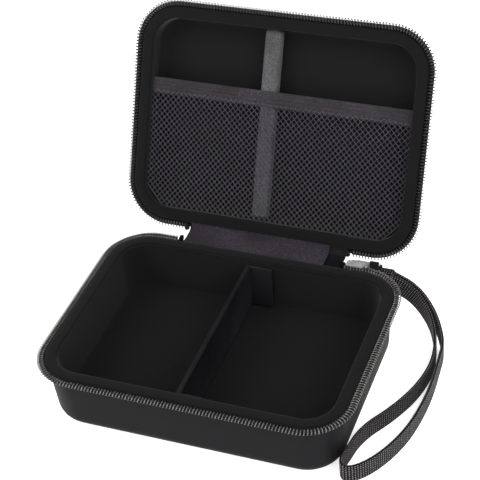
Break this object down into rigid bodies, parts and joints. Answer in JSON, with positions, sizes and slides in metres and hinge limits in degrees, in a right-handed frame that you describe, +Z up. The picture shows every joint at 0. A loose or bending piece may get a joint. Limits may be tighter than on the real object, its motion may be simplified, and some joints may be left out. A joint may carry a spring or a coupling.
{
  "type": "trading card storage box",
  "caption": "Zippered soft-shell storage case: a deep divided base, a shallower hinged lid with a mesh pocket, and a wrist strap on the zip slider.",
  "frame": {"origin": "centre of the base's underside, on the surface the case stands on", "axes": "+X to the right along the hinge, +Y from the front to the hinge at the back, +Z up"},
  "size_m": [0.1824, 0.1876, 0.1426],
  "materials": {
    "cover": "satin",
    "foam": "matte",
    "lining": "matte",
    "binding": "matte",
    "coil": "satin",
    "tape": "matte",
    "stop_metal": "satin",
    "hinge_cloth": "satin",
    "hinge_lining": "matte",
    "rib_cloth": "matte",
    "net": "matte",
    "elastic": "matte",
    "divider_cloth": "satin",
    "divider_plastic": "matte",
    "hook_tape": "matte",
    "slider_metal": "gloss",
    "webbing": "matte"
  },
  "bodies": {
    "base": {"base_outer_cover": "cover", "base_shell": "foam", "base_lining": "lining", "base_zip_tape": "tape", "base_zip_coil": "coil", "base_zip_stops": "stop_metal", "base_rim_binding": "binding", "hinge_outer_panel": "hinge_cloth", "hinge_inner_panel": "hinge_lining"},
    "lid": {"lid_outer_cover": "cover", "lid_shell": "foam", "lid_lining": "lining", "lid_zip_tape": "tape", "lid_zip_coil": "coil", "lid_zip_stops": "stop_metal", "lid_rim_binding": "binding", "lid_rib_core": "foam", "lid_rib_cover": "rib_cloth", "pocket_mesh": "net", "pocket_elastic": "elastic", "pocket_seam_tape": "tape"},
    "divider": {"divider_cover": "divider_cloth", "divider_board": "divider_plastic", "divider_hook_back": "hook_tape", "divider_hook_front": "hook_tape"},
    "slider": {"slider_body": "slider_metal", "slider_crown": "slider_metal"},
    "pull": {"zip_pull": "slider_metal", "strap_tab": "webbing", "wrist_strap": "webbing"}
  },
  "joints": [
    {"name": "lid_hinge", "type": "hinge", "parent": "base", "child": "lid", "pos_m": [0, 0.0621, 0.0338], "axis": [1, 0, 0], "range_deg": [-14.5, 115.5], "deforming": ["hinge_outer_panel", "hinge_inner_panel"]},
    {"name": "divider_slide", "type": "slide", "parent": "base", "child": "divider", "axis": [1, 0, 0], "range_m": [-0.035, 0.035]},
    {"name": "slider_travel", "type": "slide", "parent": "base", "child": "slider", "axis": [1, 0, 0], "range_m": [0, 0.008]},
    {"name": "pull_swing", "type": "hinge", "parent": "slider", "child": "pull", "pos_m": [0.0504, 0.0622, 0.03375], "axis": [0, 0, 1], "range_deg": [0, 11], "deforming": ["strap_tab", "wrist_strap"]}
  ]
}
